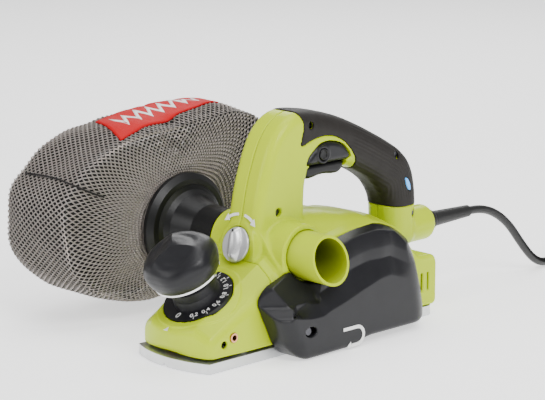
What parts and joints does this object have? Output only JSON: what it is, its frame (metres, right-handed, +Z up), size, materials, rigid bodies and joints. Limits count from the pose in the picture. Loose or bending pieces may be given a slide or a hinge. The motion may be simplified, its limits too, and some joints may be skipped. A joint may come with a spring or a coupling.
{
  "type": "electric hand planer",
  "caption": "Corded hand planer: aluminium sole in two shoes, belt-driven cutter drum, loop handle with trigger, leaning depth knob, side chip outlets and a mesh dust bag.",
  "frame": {"origin": "centre of the sole's length and width, on the underside of the rear shoe", "axes": "+X forwards to the depth knob, +Y to the belt cover side (left), +Z up"},
  "size_m": [0.6225, 0.3362, 0.2015],
  "materials": {
    "cast_aluminium": "machined and brushed",
    "lime_shell": "glossy moulded",
    "charcoal_shell": "satin moulded",
    "grip_rubber": "soft matte, ribbed",
    "black_plastic": "satin",
    "black_rubber": "matte",
    "silver_knob": "satin silver paint",
    "chrome_trim": "bright",
    "steel": "ground",
    "dark_steel": "blackened",
    "carbide": "ground edge",
    "brass": "turned",
    "copper_wire": "enamelled",
    "laminated_steel": "stacked sheets",
    "carbon": "matte",
    "indicator_lens": "clear",
    "bag_mesh": "open mesh",
    "cord_sheath": "matte"
  },
  "bodies": {
    "chassis": {"rear_shoe": "cast_aluminium", "shoe_screws": "dark_steel", "front_housing": "lime_shell", "left_housing": "lime_shell", "right_housing": "lime_shell", "grip_overmould": "grip_rubber", "trigger_surround": "charcoal_shell", "trigger_pin": "steel", "switch_body": "black_plastic", "live_indicator": "indicator_lens", "housing_screws": "dark_steel", "fence_inserts": "brass", "chip_duct": "lime_shell", "belt_cover": "charcoal_shell", "belt_cover_screw": "dark_steel", "drive_belt": "black_rubber", "drum_bearing_left": "steel", "drum_bearing_right": "steel", "motor_bearing_left": "steel", "motor_bearing_right": "steel", "stator_core": "laminated_steel", "field_coils": "copper_wire", "fan_baffle": "black_plastic", "brush_holders": "brass", "carbon_brushes": "carbon", "cord_clamp": "black_plastic", "strain_relief": "black_rubber", "mains_cord": "cord_sheath", "cord_coil": "cord_sheath", "mains_plug": "black_plastic"},
    "cutter": {"cutter_drum": "laminated_steel", "drum_shaft": "steel", "planer_blades": "carbide", "blade_clamps": "steel", "blade_screws": "dark_steel", "drum_pulley": "steel", "drum_pulley_nut": "steel"},
    "armature": {"motor_shaft": "steel", "armature_core": "laminated_steel", "armature_windings": "copper_wire", "commutator": "copper_wire", "cooling_fan": "black_plastic", "motor_pulley": "steel", "motor_pulley_nut": "steel"},
    "front_sole": {"front_shoe": "cast_aluminium", "guide_pins": "steel"},
    "depth_knob": {"depth_spindle": "steel", "spindle_clip": "dark_steel", "depth_dial": "charcoal_shell", "knob_core": "charcoal_shell", "knob_trim_ring": "chrome_trim", "knob_cap": "charcoal_shell"},
    "trigger_lever": {"trigger": "black_plastic"},
    "lock_plunger": {"lock_button": "black_plastic"},
    "chip_selector": {"selector_knob": "silver_knob", "selector_flap": "charcoal_shell"},
    "bag_unit": {"bag_adapter": "black_plastic", "bag_ring": "black_plastic", "dust_bag": "bag_mesh"}
  },
  "joints": [
    {"name": "drum_spin", "type": "hinge", "parent": "chassis", "child": "cutter", "pos_m": [0.025, 0, 0.028], "axis": [0, 1, 0], "continuous": true},
    {"name": "armature_spin", "type": "hinge", "parent": "chassis", "child": "armature", "pos_m": [-0.06, 0, 0.058], "axis": [0, 1, 0], "continuous": true},
    {"name": "depth_knob_turn", "type": "hinge", "parent": "chassis", "child": "depth_knob", "pos_m": [0.075, 0, 0], "axis": [0.5, 0, 0.866], "range_deg": [-252, 0]},
    {"name": "front_sole_slide", "type": "slide", "parent": "chassis", "child": "front_sole", "axis": [0.5, 0, 0.866], "range_m": [0, 0.0023]},
    {"name": "trigger_pull", "type": "hinge", "parent": "chassis", "child": "trigger_lever", "pos_m": [-0.013, 0, 0.1568], "axis": [0, 1, 0], "range_deg": [0, 7], "stiffness_Nm_per_rad": 2, "springref_deg": -5.73},
    {"name": "lock_press", "type": "slide", "parent": "chassis", "child": "lock_plunger", "axis": [0, -1, 0], "range_m": [0, 0.003], "stiffness_N_per_m": 600, "springref_m": -0.001},
    {"name": "selector_turn", "type": "hinge", "parent": "chassis", "child": "chip_selector", "pos_m": [0.0632, 0, 0.0921], "axis": [0.9511, 0, 0.309], "range_deg": [-38, 22]},
    {"name": "bag_pull", "type": "slide", "parent": "chassis", "child": "bag_unit", "axis": [0, -1, 0], "range_m": [0, 0.06]}
  ],
  "couplings": [
    {"joint": "armature_spin", "follows": "drum_spin", "ratio": 1.4545},
    {"joint": "depth_knob_turn", "follows": "front_sole_slide", "rad_per_m": -1904.8}
  ]
}
